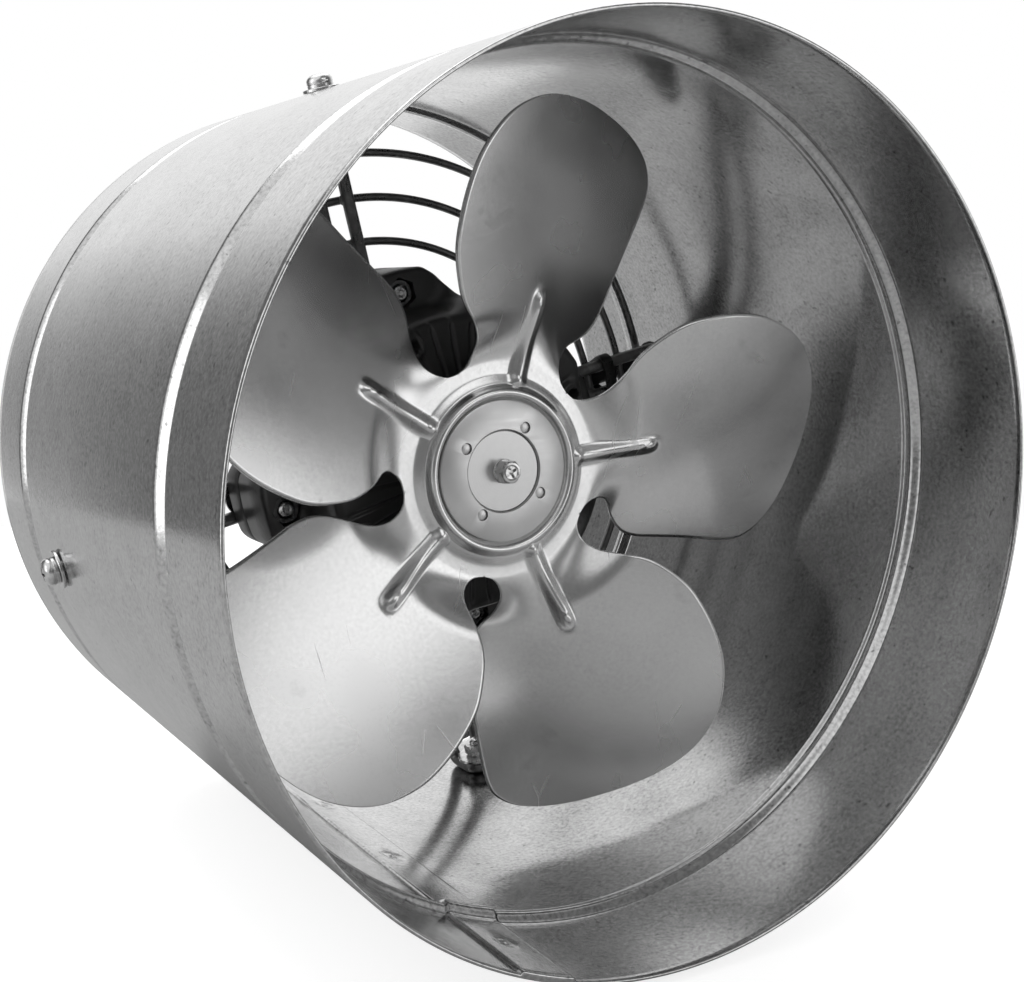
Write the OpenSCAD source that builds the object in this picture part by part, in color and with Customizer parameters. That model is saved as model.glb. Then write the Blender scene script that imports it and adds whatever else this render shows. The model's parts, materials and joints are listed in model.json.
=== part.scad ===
// Inline duct fan for an exhaust run: a galvanised tube with a five-blade pressed impeller.
// A shaded-pole motor hangs in the tube on four wire spokes, which also carry a ring guard.
// Y runs along the duct from its front rim, X points right and Z points up. Millimetres.

/* [Duct] */
// Outside diameter of the duct
duct_d = 200; // [199:0.5:204]
// Length of the duct from rim to rim
duct_len = 185; // [183:1:200]
// Thickness of the galvanised sheet
sheet_t = 0.8; // [0.5:0.1:0.8]
// Distance from the front rim to the middle of the front bead
front_collar = 34.5; // [20:0.5:45]
// Distance from the rear rim to the middle of the rear bead
rear_collar = 31; // [20:0.5:31]
// Width of a rolled bead
bead_w = 5.6; // [3:0.1:5.6]
// How far a rolled bead is pressed into the tube
bead_h = 1.8; // [0.5:0.1:2]
// Width of the spot-welded lap, in degrees round the tube
lap_angle = 8; // [4:1:12]

/* [Impeller] */
// Number of blades
blade_count = 5; // [3:1:5]
// Thickness of the impeller's sheet
blade_t = 1; // [0.8:0.1:1.2]
// Pitch of the blades, in degrees
pitch = 22.5; // [18:0.5:25]
// Forward rake of the blades, in degrees
rake = 10; // [6:1:12]
// Depth of the impeller's flat centre behind the front rim
hub_y = 77; // [76:1:77]

/* [Motor] */
// Radius of the motor's cast body
motor_r = 43.5; // [43:0.1:43.5]
// Radius of the circle of the four through bolts
bolt_circle_r = 45.5; // [45.5:0.1:46]
// Diameter of the motor shaft
shaft_d = 6; // [5:0.5:6]
// Running clearance between shaft and bushes, on radius
bush_play = 0.04; // [0.02:0.01:0.08]

/* [Guard] */
// Diameter of the spoke rods
spoke_d = 3.6; // [3:0.1:3.6]
// Diameter of the ring wire
ring_d = 2.3; // [1.8:0.1:2.3]
// Radius of the inner guard ring
ring_r = 59; // [58:0.5:60]
// Step from one guard ring to the next
ring_step = 12.2; // [11:0.1:12.4]
// Angle of the first spoke above the X axis, in degrees
spoke_angle = 14; // [0:1:30]

/* [Hidden] */
$fn = 96;

// Duct
duct_r = duct_d / 2;
wall_in = duct_r - sheet_t;
lap_start = 246;
rear_bead_y = duct_len - rear_collar;

// Four-way layout shared by the motor's lobes, the spokes and the wall bolts
quarters = [0:90:270];
gap = 0.1;

// Spokes: closed loops of rod, clamped to the motor and turned forward along the wall
spoke_y = 139;
leg_off = 4.2;
rod_r = spoke_d / 2;
bend_r = 3;
foot_y = 130;
foot_r = wall_in - rod_r - 0.2;
leg_end = foot_r - bend_r;
ring_y = spoke_y + rod_r + ring_d / 2 + 0.05;

// Metric hardware
m4_r = 2;
m4_hole_r = 2.25;
m4_flats = 7;
nut_h = 3.2;
washer_t = 0.9;

// Motor casting, as depths along the duct
nose_y = 89;
face_y = 92.5;
fin_y = 91;
lobe_y = 110;
split_y = 127;
rear_lobe_y = 137;
rear_end_y = 155.5;
rear_body_r = 38.9;
cavity_r = 39.7;
bush_r = 7;
bush_len = 10;
shaft_r = shaft_d / 2;
front_bush_y = 91;
rear_bush_y = 145;
stack_y = 122;
stack_h = 20;
rotor_r = 18.9;
pole_angle = spoke_angle + 45;

// Motor lead: diameter, height of its exit and the points of its route as [radius, depth]
lead_r = 2.9;
gland_y = 147.6;
grommet_y = 146.2;
lead_route = [[33, 147.6], [40, 147.7], [50, 147.7], [57, 146.9], [64, 146.2], [80, 146.2], [101.6, 146.2]];
tie_at = 76;

// Impeller: the mid-line of a blade is at blade_angle; outlines are [span, chord] from slot to tip
blade_angle = 8;
blade_y = 72.2;
blade_station = 55;
camber = 0.0019;
leading_edge = [[18, 11.5], [23, 13.6], [28.6, 15.4], [33.5, 17.6], [42, 26], [50, 29.5],
                [59, 30.4], [69, 29.4], [79, 25.2], [86, 18.5], [90.3, 9], [91.8, 0]];
trailing_edge = [[18, -11.5], [23, -13.6], [28.6, -15.2], [33, -16.6], [37.2, -22.5], [41.5, -27],
                 [50, -29.8], [62, -32.8], [75, -36.3], [82, -35.2], [88, -26], [91.6, -4]];
hub_disc_r = 28;
slot_r = 6.7;
slot_at = 33.9;
rib_from = 20.5;
rib_to = 46;
rib_half = 2.6;
rib_h = 1.6;
rib_turn = -2;
plate_r = 17.9;
spigot_r = 10.3;
rivet_r = 1.45;
rivet_at = 12.3;

// A point of the children's frame: X points outwards at this angle, Y stays along the duct
module around(angle) rotate([0, -angle, 0]) children();

// The same for each of the four quarters
module each_quarter(first) for (q = quarters) around(first + q) children();

// A cylinder along the duct between two depths
module bar_y(r, y0, y1, sides = $fn) translate([0, y1, 0]) rotate([90, 0, 0]) cylinder(r = r, h = y1 - y0, $fn = sides);

// A cylinder along X between two places
module bar_x(r, x0, x1, sides = $fn) translate([x0, 0, 0]) rotate([0, 90, 0]) cylinder(r = r, h = x1 - x0, $fn = sides);

// A ring along the duct between two depths
module ring_between(r_in, r_out, y0, y1) difference() {
    bar_y(r_out, y0, y1);
    bar_y(r_in, y0 - 1, y1 + 1);
}

// A solid turned about the duct's axis, from a profile of [radius, depth] points
module turned(profile) rotate([90, 0, 0]) rotate_extrude() polygon([for (p = profile) [p[0], -p[1]]]);

// A solid turned about X, from a profile of [place along X, radius] points
module turned_x(profile) rotate([0, 90, 0]) rotate_extrude() polygon([for (p = profile) [p[1], p[0]]]);

// A flat outline with the duct's cross-section as its plane, extruded between two depths
module plate_between(y0, y1) translate([0, y1, 0]) rotate([90, 0, 0]) linear_extrude(y1 - y0) children();

// A hexagon prism's radius from its width across flats
function hex_r(flats) = flats / 2 / cos(30);

// How far the rolled beads sink under the plain tube at a depth
function bead_sink(y) =
    let (d = min(abs(y - front_collar), abs(y - rear_bead_y)))
    d >= bead_w / 2 ? 0 : bead_h * (1 + cos(360 * d / bead_w)) / 2;

bead_steps = 10;
function bead_stations(centre) = [for (i = [0:bead_steps]) centre + bead_w * (i / bead_steps - 0.5)];

// Profile of a layer of sheet that follows the beads, between two radii of the plain tube
function wall_stations(y0, y1) = concat([y0], bead_stations(front_collar), bead_stations(rear_bead_y), [y1]);
function layer_profile(r_in, r_out, stations) = concat(
    [for (y = stations) [r_out - bead_sink(y), -y]],
    [for (i = [len(stations) - 1:-1:0]) [r_in - bead_sink(stations[i]), -stations[i]]]);

module duct_shell() color([0.74, 0.75, 0.76]) difference() {
    union() {
        rotate([90, 0, 0]) rotate_extrude($fn = 180) polygon(layer_profile(wall_in, duct_r, wall_stations(0, duct_len)));
        around(lap_start) rotate([90, 0, 0]) rotate_extrude(angle = lap_angle, $fn = 180)
            polygon(layer_profile(wall_in - sheet_t, wall_in + sheet_t / 4, wall_stations(0.5, duct_len - 0.5)));
    }
    each_quarter(spoke_angle) translate([0, foot_y, 0]) bar_x(m4_hole_r, wall_in - 4, duct_r + 4);
    around(spoke_angle) translate([0, grommet_y, 0]) bar_x(4.1, wall_in - 4, duct_r + 4);
}

// Outer hardware of the four wall bolts
head_x = duct_r + 2.1;
module wall_bolts() color([0.8, 0.8, 0.8]) each_quarter(spoke_angle) translate([0, foot_y, 0]) difference() {
    union() {
        bar_x(m4_r, foot_r - rod_r - washer_t - nut_h - 1.5, head_x + 1);
        turned_x([[head_x, 0], [head_x, 3.8], [head_x + 1.5, 3.8], [head_x + 2.2, 3.2], [head_x + 2.6, 2], [head_x + 2.6, 0]]);
    }
    for (turn = [0, 90]) translate([head_x + 2.3, 0, 0]) rotate([turn, 0, 0]) cube([2, 4, 0.9], center = true);
}

module washer_x(r, x0, t) difference() {
    bar_x(r, x0, x0 + t);
    bar_x(m4_hole_r, x0 - 1, x0 + t + 1);
}

module flat_washers() color([0.85, 0.85, 0.85])
    each_quarter(spoke_angle) translate([0, foot_y, 0]) washer_x(5, duct_r + 0.15, washer_t);

module spring_washers() color([0.7, 0.7, 0.7])
    each_quarter(spoke_angle) translate([0, foot_y, 0]) washer_x(3.6, duct_r + washer_t + 0.2, 0.9);

module foot_washers() color([0.85, 0.85, 0.85])
    each_quarter(spoke_angle) translate([0, foot_y, 0]) washer_x(6.4, foot_r - rod_r - washer_t - 0.05, washer_t);

module wall_nuts() color([0.8, 0.8, 0.8]) each_quarter(spoke_angle) translate([0, foot_y, 0]) {
    x1 = foot_r - rod_r - washer_t - 0.1;
    difference() {
        bar_x(hex_r(m4_flats), x1 - nut_h, x1, 6);
        bar_x(m4_r + 0.02, x1 - nut_h - 1, x1 + 1);
    }
}

// A rubber bush with two flanges round a lead, in a wall between two places along X
module lead_bush(x0, x1, neck_r, flange_r) turned_x([
    [x0 - 1.2, lead_r + gap], [x0 - 1.2, flange_r - 0.5], [x0 - 0.8, flange_r], [x0, flange_r], [x0, neck_r],
    [x1, neck_r], [x1, flange_r], [x1 + 0.9, flange_r], [x1 + 1.4, flange_r - 0.6], [x1 + 1.4, lead_r + gap]]);

module wall_grommet() color([0.08, 0.08, 0.08])
    around(spoke_angle) translate([0, grommet_y, 0]) lead_bush(wall_in - 0.3, duct_r + 0.15, 4, 5);

// One spoke: a closed loop of rod with a leg each side of the bolts
module spoke(angle) color([0.25, 0.25, 0.26]) around(angle) {
    for (t = [-leg_off, leg_off]) {
        translate([0, spoke_y, t]) bar_x(rod_r, bolt_circle_r, leg_end);
        translate([leg_end, spoke_y - bend_r, t]) rotate_extrude(angle = 90) translate([bend_r, 0]) circle(rod_r, $fn = 48);
        translate([foot_r, 0, t]) bar_y(rod_r, foot_y, spoke_y - bend_r);
    }
    translate([bolt_circle_r, spoke_y, 0]) rotate([90, 0, 0]) rotate([0, 0, 90])
        rotate_extrude(angle = 180) translate([leg_off, 0]) circle(rod_r, $fn = 48);
    translate([foot_r, foot_y, 0]) rotate([0, 90, 0]) rotate([0, 0, 180])
        rotate_extrude(angle = 180) translate([leg_off, 0]) circle(rod_r, $fn = 48);
}

module guard_ring(step) color([0.25, 0.25, 0.26])
    translate([0, ring_y, 0]) rotate([90, 0, 0]) rotate_extrude($fn = 180)
        translate([ring_r + step * ring_step, 0]) circle(ring_d / 2, $fn = 32);

// Outline of the bolt lobes that stand out of the motor's round body
module lobe_outline() for (q = quarters) rotate([0, 0, spoke_angle + q]) {
    round_r = 3.5;
    tip = bolt_circle_r + 6;
    half_w = 8;
    translate([cavity_r - 3, -half_w]) square([tip - round_r - cavity_r + 3, 2 * half_w]);
    translate([tip - round_r - 1, round_r - half_w]) square([round_r + 1, 2 * (half_w - round_r)]);
    for (side = [-1, 1]) translate([tip - round_r, side * (half_w - round_r)]) circle(round_r, $fn = 48);
}

module bolt_holes(y0, y1) each_quarter(spoke_angle) translate([bolt_circle_r, 0, 0]) bar_y(m4_hole_r, y0, y1);

fin_count = 36;
boss_r = 35;
boss_hole_r = 1.6;
pocket_flats = 7.4;
pocket_deep = 4.7;
module motor_front_shell() color([0.12, 0.12, 0.13]) difference() {
    union() {
        turned([[0, nose_y], [12, nose_y], [13.5, nose_y + 1.5], [13.5, face_y], [motor_r - 1.5, face_y],
                [motor_r, face_y + 1.5], [motor_r, split_y], [0, split_y]]);
        plate_between(lobe_y, split_y) lobe_outline();
        for (i = [0:fin_count - 1]) around(i * 360 / fin_count)
            translate([15, fin_y, -0.5]) cube([motor_r - 16.5, 2, 1]);
        each_quarter(spoke_angle + 15) translate([boss_r, 0, 0]) bar_y(3.4, fin_y - 0.4, face_y + 1);
    }
    bar_y(shaft_r + 1, nose_y - 1, front_bush_y + 1);
    bar_y(bush_r + 0.02, front_bush_y, front_bush_y + bush_len + 1);
    turned([[0, front_bush_y + bush_len], [10.5, front_bush_y + bush_len], [10.5, 95.5], [cavity_r - 1.7, 95.5],
            [cavity_r - 1.7, stack_y - stack_h / 2], [cavity_r, stack_y - stack_h / 2], [cavity_r, split_y + 1], [0, split_y + 1]]);
    bolt_holes(lobe_y - 1, split_y + 1);
    each_quarter(spoke_angle) translate([bolt_circle_r, 0, 0]) bar_y(hex_r(pocket_flats), lobe_y - 1, lobe_y + pocket_deep, 6);
    each_quarter(spoke_angle + 15) translate([boss_r, 0, 0]) bar_y(boss_hole_r, fin_y - 2, fin_y + 3.4);
}

module motor_rear_shell() color([0.12, 0.12, 0.13]) difference() {
    union() {
        turned([[0, split_y + gap], [motor_r, split_y + gap], [motor_r, rear_lobe_y], [rear_body_r, rear_lobe_y],
                [rear_body_r, rear_end_y - 2], [rear_body_r - 2, rear_end_y], [13.5, rear_end_y],
                [13.5, rear_end_y + 2.5], [12.5, rear_end_y + 3.5], [0, rear_end_y + 3.5]]);
        plate_between(split_y + gap, rear_lobe_y) lobe_outline();
    }
    turned([[0, split_y - 1], [cavity_r, split_y - 1], [cavity_r, stack_y + stack_h / 2], [36, stack_y + stack_h / 2],
            [36, rear_end_y - 2.7], [10.5, rear_end_y - 2.7], [10.5, rear_bush_y], [0, rear_bush_y]]);
    bar_y(bush_r + 0.02, rear_bush_y - 1, rear_bush_y + bush_len + gap);
    bar_y(shaft_r + 1, rear_bush_y, rear_bush_y + bush_len + 1.5);
    bolt_holes(split_y - 1, rear_lobe_y + 1);
    around(spoke_angle) translate([0, gland_y, 0]) bar_x(4.2, 34, rear_body_r + 3);
}

// Laminated core: a ring with four poles, each shoe with a window for its shading ring
neck_w = 12;
yoke_r = 34;
shoe_in = 19.3;
shoe_out = 24;
shade_t = 7.1;
shade_x = 20.8;
module stator_core() color([0.45, 0.46, 0.48]) plate_between(stack_y - stack_h / 2, stack_y + stack_h / 2) difference() {
    union() {
        difference() {
            circle(cavity_r - 0.2);
            circle(yoke_r);
        }
        for (q = quarters) rotate([0, 0, pole_angle + q]) {
            translate([shoe_out - 1, -neck_w / 2]) square([yoke_r - shoe_out + 2, neck_w]);
            intersection() {
                circle(shoe_out);
                polygon([[0, 0], [30, -30 * tan(27)], [30, 30 * tan(27)]]);
            }
        }
    }
    circle(shoe_in);
    for (q = quarters) rotate([0, 0, pole_angle + q]) translate([shade_x, shade_t]) square([1.5, 1.3], center = true);
}

// A block about a pole of the stator: radial span, half width across and half length along the duct
module pole_block(x0, x1, half_t, half_y) translate([x0, stack_y - half_y, -half_t]) cube([x1 - x0, 2 * half_y, 2 * half_t]);

module coil_formers() color([0.85, 0.85, 0.8]) each_quarter(pole_angle) difference() {
    union() {
        pole_block(24.4, 31.6, 7.1, 11.2);
        for (x = [24.4, 31]) pole_block(x, x + 0.6, 11, 15);
    }
    pole_block(24, 32, neck_w / 2 + gap, stack_h / 2 + gap);
}

module coil(q) color([0.72, 0.4, 0.22]) around(pole_angle + q) difference() {
    pole_block(25.1, 30.9, 11, 15);
    pole_block(25, 31, 7.2, 11.3);
}

module shading_rings() color([0.75, 0.42, 0.25]) each_quarter(pole_angle) {
    end_y = stack_h / 2 + gap;
    for (t = [shade_t, 11.8]) translate([shade_x, stack_y, t]) cube([1.2, 2 * end_y + 1, 1.2], center = true);
    for (side = [-1, 1]) translate([shade_x, stack_y + side * (end_y + 0.6), (shade_t + 11.8) / 2])
        cube([1.2, 1.2, 5.9], center = true);
}

module bush(y0) color([0.7, 0.55, 0.3]) ring_between(shaft_r + bush_play, bush_r, y0, y0 + bush_len);

bolt_head_y = spoke_y + rod_r + washer_t + gap;
module through_bolts() color([0.75, 0.75, 0.75]) each_quarter(spoke_angle) translate([bolt_circle_r, 0, 0]) {
    bar_y(m4_r, lobe_y + 0.6, bolt_head_y + 1);
    bar_y(hex_r(m4_flats), bolt_head_y, bolt_head_y + 2.8, 6);
}

nut_y = lobe_y + pocket_deep - nut_h - gap;
module through_nuts() color([0.4, 0.4, 0.4]) each_quarter(spoke_angle) translate([bolt_circle_r, 0, 0]) difference() {
    bar_y(hex_r(m4_flats), nut_y, nut_y + nut_h, 6);
    bar_y(m4_r + 0.02, lobe_y, lobe_y + 10);
}

module motor_washers() color([0.85, 0.85, 0.85]) each_quarter(spoke_angle) translate([bolt_circle_r, 0, 0])
    ring_between(m4_hole_r, 5.8, spoke_y + rod_r + gap / 2, spoke_y + rod_r + gap / 2 + washer_t);

module lead_gland() color([0.08, 0.08, 0.08])
    around(spoke_angle) translate([0, gland_y, 0]) lead_bush(35.4, rear_body_r + 0.1, 4.1, 5);

// Smooth curve through a list of points: the point a fraction t after point i
function spline_point(p, i, t) =
    let (a = p[max(i - 1, 0)], b = p[i], c = p[min(i + 1, len(p) - 1)], d = p[min(i + 2, len(p) - 1)])
    (2 * b + (c - a) * t + (2 * a - 5 * b + 4 * c - d) * t * t + (3 * b - a - 3 * c + d) * t * t * t) / 2;

// The same curve, with u from 0 at the first point to 1 at the last
function spline_at(p, u) = let (x = u * (len(p) - 1), i = min(floor(x), len(p) - 2)) spline_point(p, i, x - i);

// Motor lead: a round tube swept along its route, which stays in the plane of the first spoke
lead_rings = 24;
lead_sides = 12;
function lead_centre(k) = spline_at(lead_route, k / lead_rings);
function lead_across(k) =
    let (d = lead_centre(min(k + 1, lead_rings)) - lead_centre(max(k - 1, 0))) [-d[1], d[0]] / norm(d);
module motor_lead() color([0.05, 0.05, 0.05]) around(spoke_angle) {
    points = [for (k = [0:lead_rings]) for (j = [0:lead_sides - 1])
        let (a = 360 * j / lead_sides, side = lead_centre(k) + lead_across(k) * lead_r * cos(a))
        [side[0], side[1], lead_r * sin(a)]];
    walls = [for (k = [0:lead_rings - 1]) for (j = [0:lead_sides - 1])
        let (n = (j + 1) % lead_sides, a = k * lead_sides, b = (k + 1) * lead_sides) [a + j, b + j, b + n, a + n]];
    first = [for (j = [0:lead_sides - 1]) j];
    last = [for (j = [lead_sides - 1:-1:0]) lead_rings * lead_sides + j];
    polyhedron(points, concat(walls, [first], [last]));
}

// Cable tie: a band round the two legs of the first spoke and the lead behind them
module tie_outline(grow) hull() {
    for (t = [-leg_off, leg_off]) translate([t, spoke_y]) circle(rod_r + grow, $fn = 32);
    translate([0, grommet_y]) circle(lead_r + grow, $fn = 32);
}
module cable_tie() color([0.06, 0.06, 0.06]) around(spoke_angle) {
    translate([tie_at - 1.8, 0, 0]) rotate([0, 90, 0]) linear_extrude(3.6) difference() {
        tie_outline(1.3);
        tie_outline(0.15);
    }
    difference() {
        translate([tie_at - 2.6, spoke_y - 2.4, -leg_off - 5.4]) cube([5.2, 5, 4.2]);
        translate([0, spoke_y, -leg_off]) bar_x(rod_r + 0.15, tie_at - 5, tie_at + 5);
    }
    translate([tie_at - 1.6, spoke_y - 6.4, -leg_off - 4.4]) cube([3.2, 5, 1.2]);
}

// Depth of a blade's middle surface: pitched, raked and slightly cambered, flat where it joins the centre
function blend(r) = let (x = min(max((r - 25) / 15, 0), 1)) x * x * (3 - 2 * x);
function blade_depth(s, c) =
    let (flat = hub_y + blade_t / 2,
         free = blade_y - c * tan(pitch) + camber * c * c - (s - blade_station) * tan(rake))
    flat + blend(norm([s, c])) * (free - flat);

// One blade as a grid of points between its trailing and leading edges, skinned on both faces
rows = 22;
cols = 10;
module blade() {
    mid = [for (i = [0:rows]) for (j = [0:cols])
        let (u = i / rows, v = j / cols, p = spline_at(trailing_edge, u) * (1 - v) + spline_at(leading_edge, u) * v)
        [p[0], blade_depth(p[0], p[1]), p[1]]];
    half = blade_t * 0.45;
    front = [for (p = mid) p - [0, half, 0]];
    rear = [for (p = mid) p + [0, half, 0]];
    w = cols + 1;
    n = len(mid);
    cells = [for (i = [0:rows - 1]) for (j = [0:cols - 1]) i * w + j];
    front_faces = [for (k = cells) each [[k, k + 1, k + w + 1], [k, k + w + 1, k + w]]];
    rear_faces = [for (k = cells) each [[n + k, n + k + w + 1, n + k + 1], [n + k, n + k + w, n + k + w + 1]]];
    rim = concat([for (j = [0:cols - 1]) [j, j + 1]],
                 [for (i = [0:rows - 1]) [i * w + cols, (i + 1) * w + cols]],
                 [for (j = [cols:-1:1]) [rows * w + j, rows * w + j - 1]],
                 [for (i = [rows:-1:1]) [i * w, (i - 1) * w]]);
    rim_faces = [for (e = rim) each [[e[0], n + e[1], e[1]], [e[0], n + e[0], n + e[1]]]];
    polyhedron(concat(front, rear), concat(front_faces, rear_faces, rim_faces));
}

// A rib pressed up along a blade: a ridge on the sheet's front whose foot lies inside the sheet
rib_steps = 12;
rib_section = [[-1, 0], [-0.6, 0.7], [0, 1], [0.6, 0.7], [1, 0]];
module rib() {
    w = len(rib_section);
    points = [for (i = [0:rib_steps]) for (p = rib_section)
        let (s = rib_from + (rib_to - rib_from) * i / rib_steps,
             c = p[0] * rib_half,
             rise = rib_h * min(1, 0.35 + (rib_to - s) / 5),
             span = s * cos(rib_turn) - c * sin(rib_turn),
             chord = s * sin(rib_turn) + c * cos(rib_turn))
        [span, blade_depth(span, chord) - rise * p[1], chord]];
    walls = [for (i = [0:rib_steps - 1]) for (j = [0:w - 1])
        let (n = (j + 1) % w, a = i * w, b = (i + 1) * w) each [[a + j, b + n, b + j], [a + j, a + n, b + n]]];
    ends = [[for (j = [w - 1:-1:0]) j], [for (j = [0:w - 1]) rib_steps * w + j]];
    polyhedron(points, concat(walls, ends));
}

module rivet_holes(r, y0, y1) each_quarter(60) translate([rivet_at, 0, 0]) bar_y(r, y0, y1);

plate_y = hub_y - 1.2;
module impeller() color([0.82, 0.83, 0.84]) difference() {
    union() {
        bar_y(hub_disc_r, hub_y, hub_y + blade_t);
        turned([[plate_r + 0.3, hub_y + 0.5], [plate_r + 1, hub_y - 1.7], [plate_r + 3, hub_y - 1.7], [plate_r + 4, hub_y + 0.5]]);
        for (i = [0:blade_count - 1]) around(blade_angle + i * 360 / blade_count) {
            blade();
            rib();
        }
    }
    bar_y(spigot_r + 0.1, hub_y - 5, hub_y + 5);
    rivet_holes(rivet_r + 0.05, hub_y - 5, hub_y + 5);
    for (i = [0:blade_count - 1]) around(blade_angle + (i + 0.5) * 360 / blade_count)
        translate([slot_at, 0, 0]) bar_y(slot_r, hub_y - 8, hub_y + 8);
}

module hub_plate() color([0.7, 0.7, 0.7]) difference() {
    bar_y(plate_r, plate_y, hub_y - 0.05);
    bar_y(spigot_r + 0.1, plate_y - 1, hub_y + 1);
    rivet_holes(rivet_r + 0.05, plate_y - 1, hub_y + 1);
}

flange_y = hub_y + blade_t + 0.1;
module drive_hub() color([0.65, 0.65, 0.66]) difference() {
    turned([[1.65, plate_y + 0.6], [spigot_r, plate_y + 0.6], [spigot_r, flange_y], [16, flange_y], [16, flange_y + 2.4],
            [8, flange_y + 2.4], [8, nose_y - 1], [shaft_r + 0.01, nose_y - 1], [shaft_r + 0.01, hub_y + 2.2], [1.65, hub_y + 2.2]]);
    rivet_holes(rivet_r + 0.05, flange_y - 1, flange_y + 4);
}

module hub_rivets() color([0.6, 0.6, 0.6]) each_quarter(60) translate([rivet_at, 0, 0]) {
    bar_y(rivet_r, plate_y + 0.4, flange_y + 3);
    bar_y(2.3, flange_y + 2.5, flange_y + 3.5);
}

module lock_washer() color([0.8, 0.8, 0.8]) ring_between(1.7, 3.1, plate_y - 0.25, plate_y + 0.55);

screw_y = plate_y - 0.3;
screw_flats = 5.5;
module centre_screw() color([0.75, 0.75, 0.75]) difference() {
    union() {
        bar_y(hex_r(screw_flats), screw_y - 3.5, screw_y, 6);
        bar_y(1.5, screw_y - 1, hub_y + 9);
    }
    for (turn = [45, 135]) translate([0, screw_y - 3.5, 0]) rotate([0, turn, 0]) cube([3.4, 2.4, 0.8], center = true);
}

shaft_end = rear_bush_y + bush_len - 1;
module shaft() color([0.7, 0.71, 0.72]) difference() {
    bar_y(shaft_r, hub_y + 2.25, shaft_end);
    bar_y(1.52, hub_y, hub_y + 11);
}

cage_t = 3;
module shaft_spacers() color([0.2, 0.2, 0.2]) {
    ring_between(shaft_r + 0.01, 5, front_bush_y + bush_len + 1.1, stack_y - stack_h / 2 - cage_t - gap);
    ring_between(shaft_r + 0.01, 5, stack_y + stack_h / 2 + cage_t + gap, rear_bush_y - 1.1);
}

module thrust_washers() color([0.8, 0.8, 0.75])
    for (y = [front_bush_y + bush_len + 0.3, rear_bush_y - 1]) ring_between(shaft_r + 0.02, 5.5, y, y + 0.7);

bar_count = 18;
module rotor_core() color([0.4, 0.41, 0.43]) plate_between(stack_y - stack_h / 2, stack_y + stack_h / 2) difference() {
    circle(rotor_r);
    circle(shaft_r + 0.01);
    for (i = [0:bar_count - 1]) rotate(i * 360 / bar_count) translate([16.6, 0]) circle(1.25, $fn = 24);
}

module rotor_cage() color([0.8, 0.81, 0.82]) {
    half = stack_h / 2;
    for (side = [-1, 1]) ring_between(10, rotor_r - 0.4, stack_y + side * (half + cage_t / 2 + 0.05) - cage_t / 2,
                                      stack_y + side * (half + cage_t / 2 + 0.05) + cage_t / 2);
    for (i = [0:bar_count - 1]) around(i * 360 / bar_count) translate([16.6, 0, 0]) bar_y(1.2, stack_y - half - 1, stack_y + half + 1, 24);
}

duct_shell();
wall_bolts();
flat_washers();
spring_washers();
foot_washers();
wall_nuts();
wall_grommet();
spoke(spoke_angle);  // spoke_right
spoke(spoke_angle + 90);  // spoke_top
spoke(spoke_angle + 180);  // spoke_left
spoke(spoke_angle + 270);  // spoke_bottom
guard_ring(0);  // guard_ring_inner
guard_ring(1);  // guard_ring_middle
guard_ring(2);  // guard_ring_outer
motor_front_shell();
motor_rear_shell();
stator_core();
coil_formers();
coil(0);  // coil_right
coil(90);  // coil_top
coil(180);  // coil_left
coil(270);  // coil_bottom
shading_rings();
bush(front_bush_y);  // front_bush
bush(rear_bush_y);  // rear_bush
through_bolts();
through_nuts();
motor_washers();
lead_gland();
motor_lead();
cable_tie();
impeller();
hub_plate();
drive_hub();
hub_rivets();
lock_washer();
centre_screw();
shaft();
shaft_spacers();
thrust_washers();
rotor_core();
rotor_cage();
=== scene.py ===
import json
import math

import bmesh
import bpy
import numpy as np
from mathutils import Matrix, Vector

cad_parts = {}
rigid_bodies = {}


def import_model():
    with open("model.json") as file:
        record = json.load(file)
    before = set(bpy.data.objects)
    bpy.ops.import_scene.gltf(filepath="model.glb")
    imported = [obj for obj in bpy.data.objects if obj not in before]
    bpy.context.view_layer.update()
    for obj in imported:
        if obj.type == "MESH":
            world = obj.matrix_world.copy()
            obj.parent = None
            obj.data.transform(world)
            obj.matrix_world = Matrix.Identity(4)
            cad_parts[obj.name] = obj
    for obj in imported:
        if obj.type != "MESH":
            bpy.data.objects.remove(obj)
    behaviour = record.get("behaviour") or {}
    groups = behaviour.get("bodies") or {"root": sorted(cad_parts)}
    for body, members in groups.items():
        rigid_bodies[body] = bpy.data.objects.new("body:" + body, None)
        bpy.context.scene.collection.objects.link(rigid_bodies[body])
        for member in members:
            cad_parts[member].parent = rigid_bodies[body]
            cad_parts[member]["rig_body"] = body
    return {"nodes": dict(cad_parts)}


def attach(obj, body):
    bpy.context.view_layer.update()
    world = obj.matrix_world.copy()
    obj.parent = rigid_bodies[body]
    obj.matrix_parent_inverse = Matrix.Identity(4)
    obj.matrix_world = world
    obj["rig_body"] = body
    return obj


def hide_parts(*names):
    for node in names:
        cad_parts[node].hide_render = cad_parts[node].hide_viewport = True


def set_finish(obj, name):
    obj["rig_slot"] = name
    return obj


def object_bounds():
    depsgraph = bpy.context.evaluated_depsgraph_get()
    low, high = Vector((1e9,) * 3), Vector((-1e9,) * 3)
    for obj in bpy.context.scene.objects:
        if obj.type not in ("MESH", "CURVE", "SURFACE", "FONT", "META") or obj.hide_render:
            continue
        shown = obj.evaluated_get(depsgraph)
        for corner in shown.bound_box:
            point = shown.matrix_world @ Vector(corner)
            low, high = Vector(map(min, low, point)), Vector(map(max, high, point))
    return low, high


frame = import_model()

cad_box = [list(corner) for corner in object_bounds()]
cad = frame["nodes"]


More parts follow.
